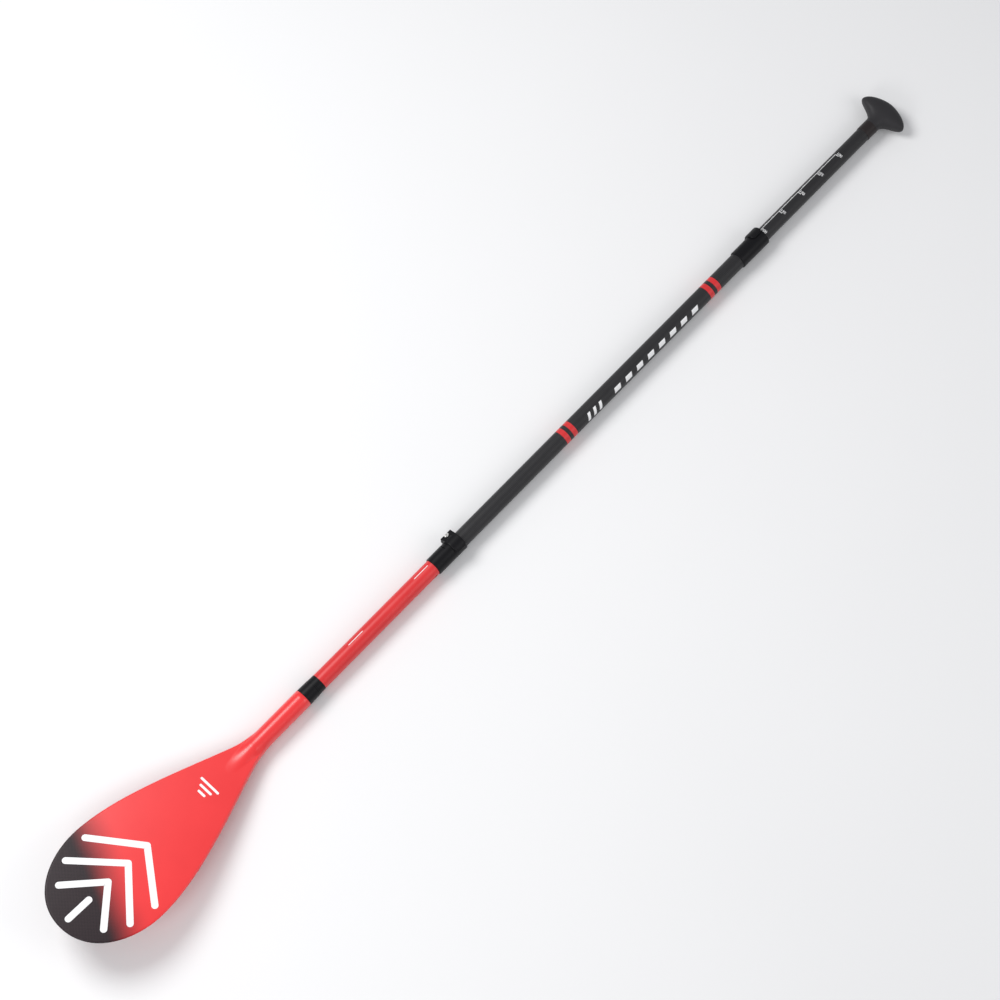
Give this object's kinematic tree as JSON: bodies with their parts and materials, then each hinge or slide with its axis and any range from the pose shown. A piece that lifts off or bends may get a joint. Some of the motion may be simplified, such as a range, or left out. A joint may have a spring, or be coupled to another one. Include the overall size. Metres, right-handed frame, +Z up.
{
  "type": "adjustable single blade paddle",
  "caption": "Take-apart paddle with a raked teardrop blade, telescoping tubes joined by cam lever clamps and a spring button, and a palm grip.",
  "frame": {"origin": "on the ground below the middle of the assembled paddle", "axes": "+X along the shaft towards the grip, +Z up out of the blade's power face side, paddle lying face up"},
  "size_m": [2, 0.194, 0.099],
  "materials": {
    "blade_red": "satin red fading to dark woven carbon at the tip",
    "shaft_red": "satin",
    "foam": "matte foam",
    "black_plastic": "matte",
    "carbon": "satin woven carbon",
    "steel": "brushed",
    "grip": "fine texture"
  },
  "bodies": {
    "blade_section": {"blade_front_skin": "blade_red", "blade_back_skin": "blade_red", "blade_core": "foam", "blade_neck": "blade_red", "neck_ferrule": "black_plastic", "red_tube": "shaft_red", "shaft_foam_plug": "foam", "lower_collar": "black_plastic", "lower_cross_pin": "steel", "lower_tension_screw": "steel", "lower_nut": "steel"},
    "middle_section": {"middle_tube": "carbon", "spigot_tube": "carbon", "spigot_plug": "foam", "button_spring": "steel", "upper_collar": "black_plastic", "upper_cross_pin": "steel", "upper_tension_screw": "steel", "upper_nut": "steel"},
    "handle_section": {"handle_tube": "carbon", "handle_end_cap": "black_plastic", "grip_core": "black_plastic", "grip_shell": "grip"},
    "lower_lever_arm": {"lower_lever": "black_plastic"},
    "upper_lever_arm": {"upper_lever": "black_plastic"},
    "button": {"spring_button": "steel"}
  },
  "joints": [
    {"name": "middle_slide", "type": "slide", "parent": "blade_section", "child": "middle_section", "axis": [1, 0, 0], "range_m": [0, 0.125]},
    {"name": "handle_slide", "type": "slide", "parent": "middle_section", "child": "handle_section", "axis": [1, 0, 0], "range_m": [-0.2, 0.33]},
    {"name": "lower_lever_hinge", "type": "hinge", "parent": "blade_section", "child": "lower_lever_arm", "pos_m": [-0.118, 0.0194, 0.03171], "axis": [-1, 0, 0], "range_deg": [0, 140]},
    {"name": "upper_lever_hinge", "type": "hinge", "parent": "middle_section", "child": "upper_lever_arm", "pos_m": [0.642, 0.01617, 0.01034], "axis": [-1, 0, 0], "range_deg": [0, 140]},
    {"name": "button_slide", "type": "slide", "parent": "middle_section", "child": "button", "axis": [0, -1, 0], "range_m": [0, 0.0034], "stiffness_N_per_m": 300, "springref_m": 0.0034}
  ]
}
